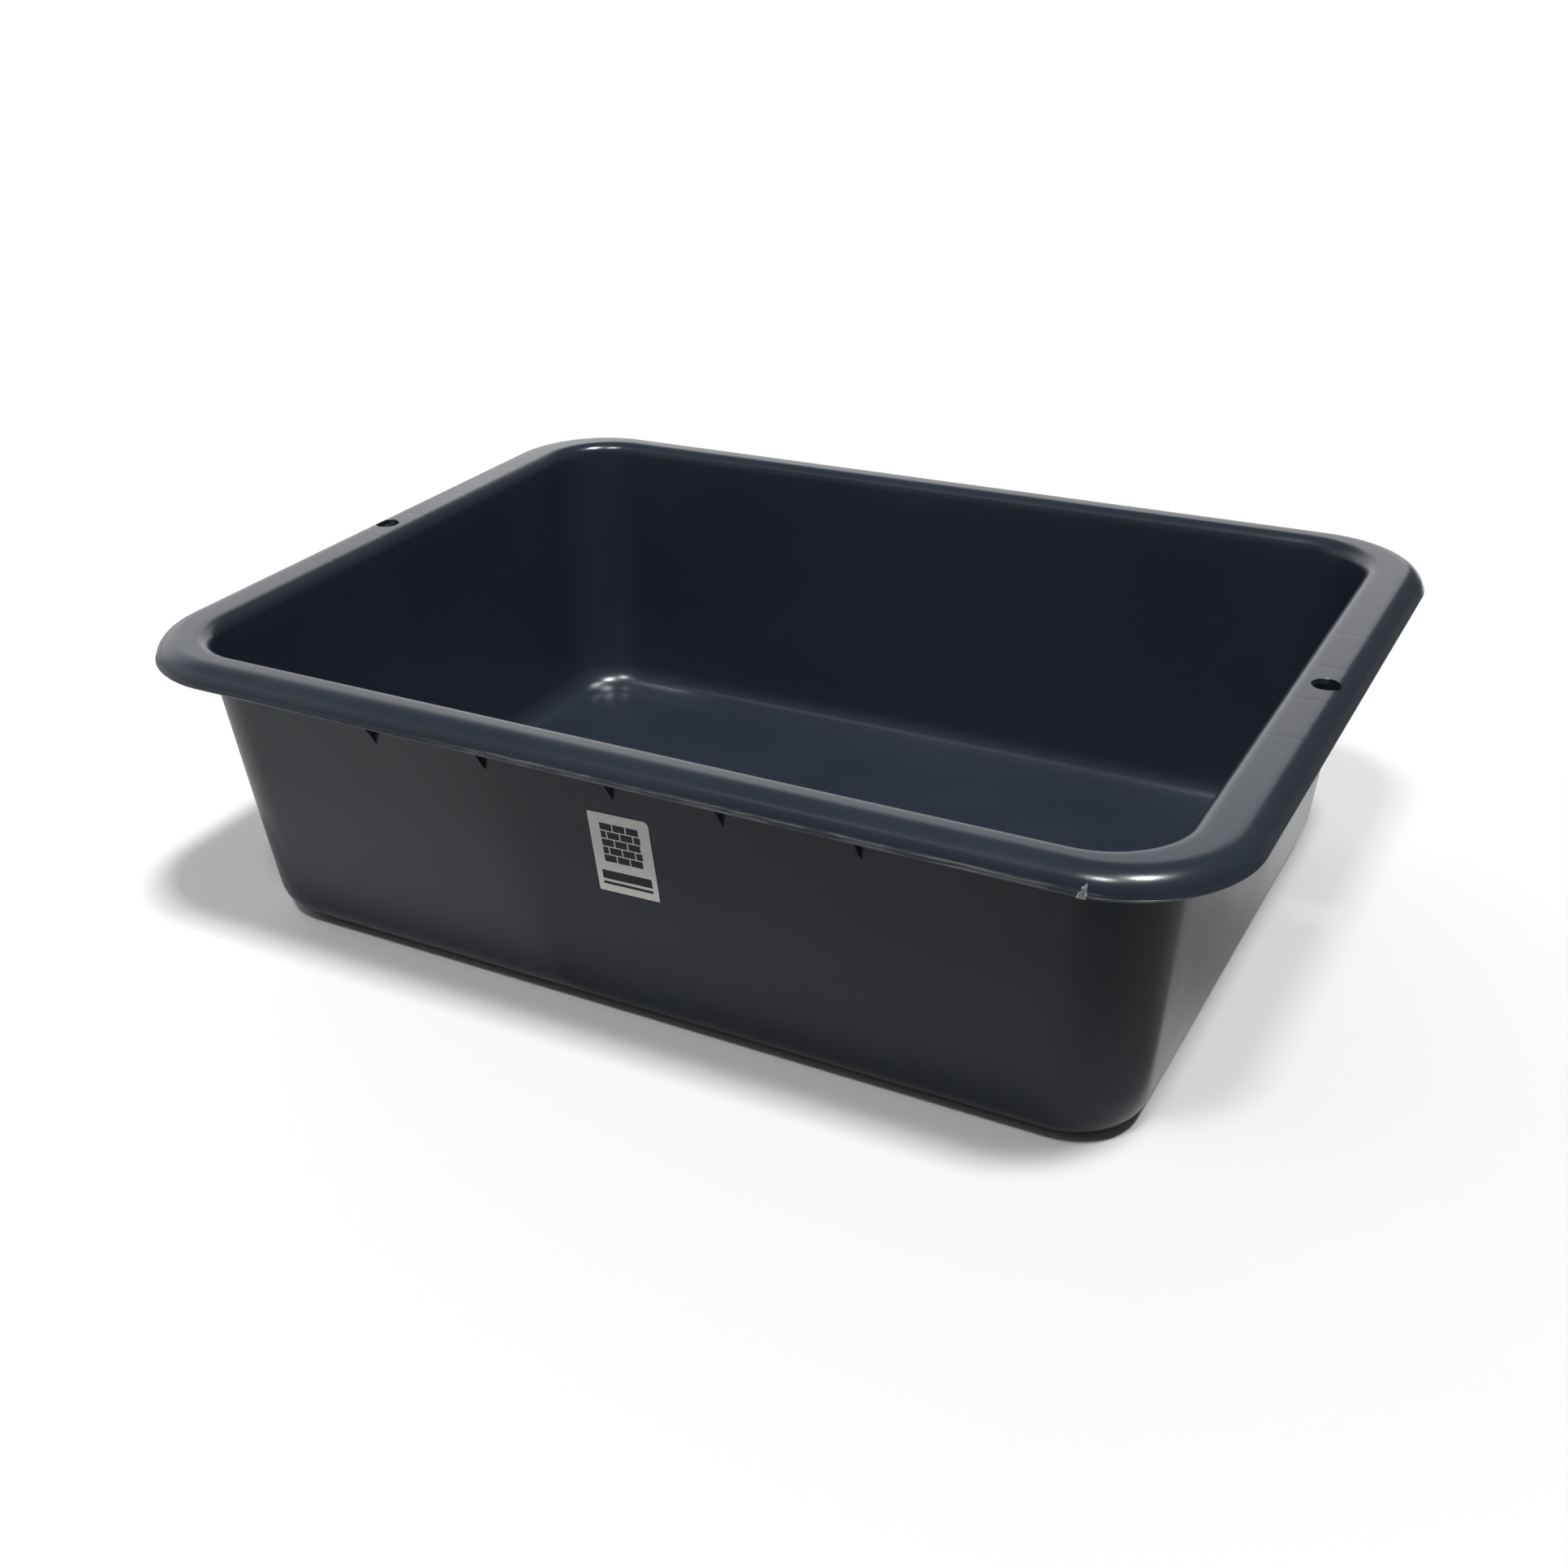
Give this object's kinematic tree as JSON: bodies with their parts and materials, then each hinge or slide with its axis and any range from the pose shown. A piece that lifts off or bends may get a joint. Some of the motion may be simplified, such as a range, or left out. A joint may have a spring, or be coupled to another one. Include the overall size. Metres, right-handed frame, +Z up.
{
  "type": "mortar mixing tub",
  "caption": "Rectangular tapered plastic mixing tub with rounded corners, a rolled rim over gussets, a hanging hole in each short rim and a small label on a long side.",
  "frame": {"origin": "centre of the flat underside, on the plane the tub rests on", "axes": "+X along the length through the rim holes, +Y across the width towards the wall opposite the label, +Z up"},
  "size_m": [0.6, 0.455, 0.172],
  "materials": {
    "tub_plastic": "satin dark blue-grey moulded polyolefin",
    "label_film": "pale printed adhesive film"
  },
  "bodies": {
    "root": {"tub": "tub_plastic", "label": "label_film"}
  },
  "joints": []
}
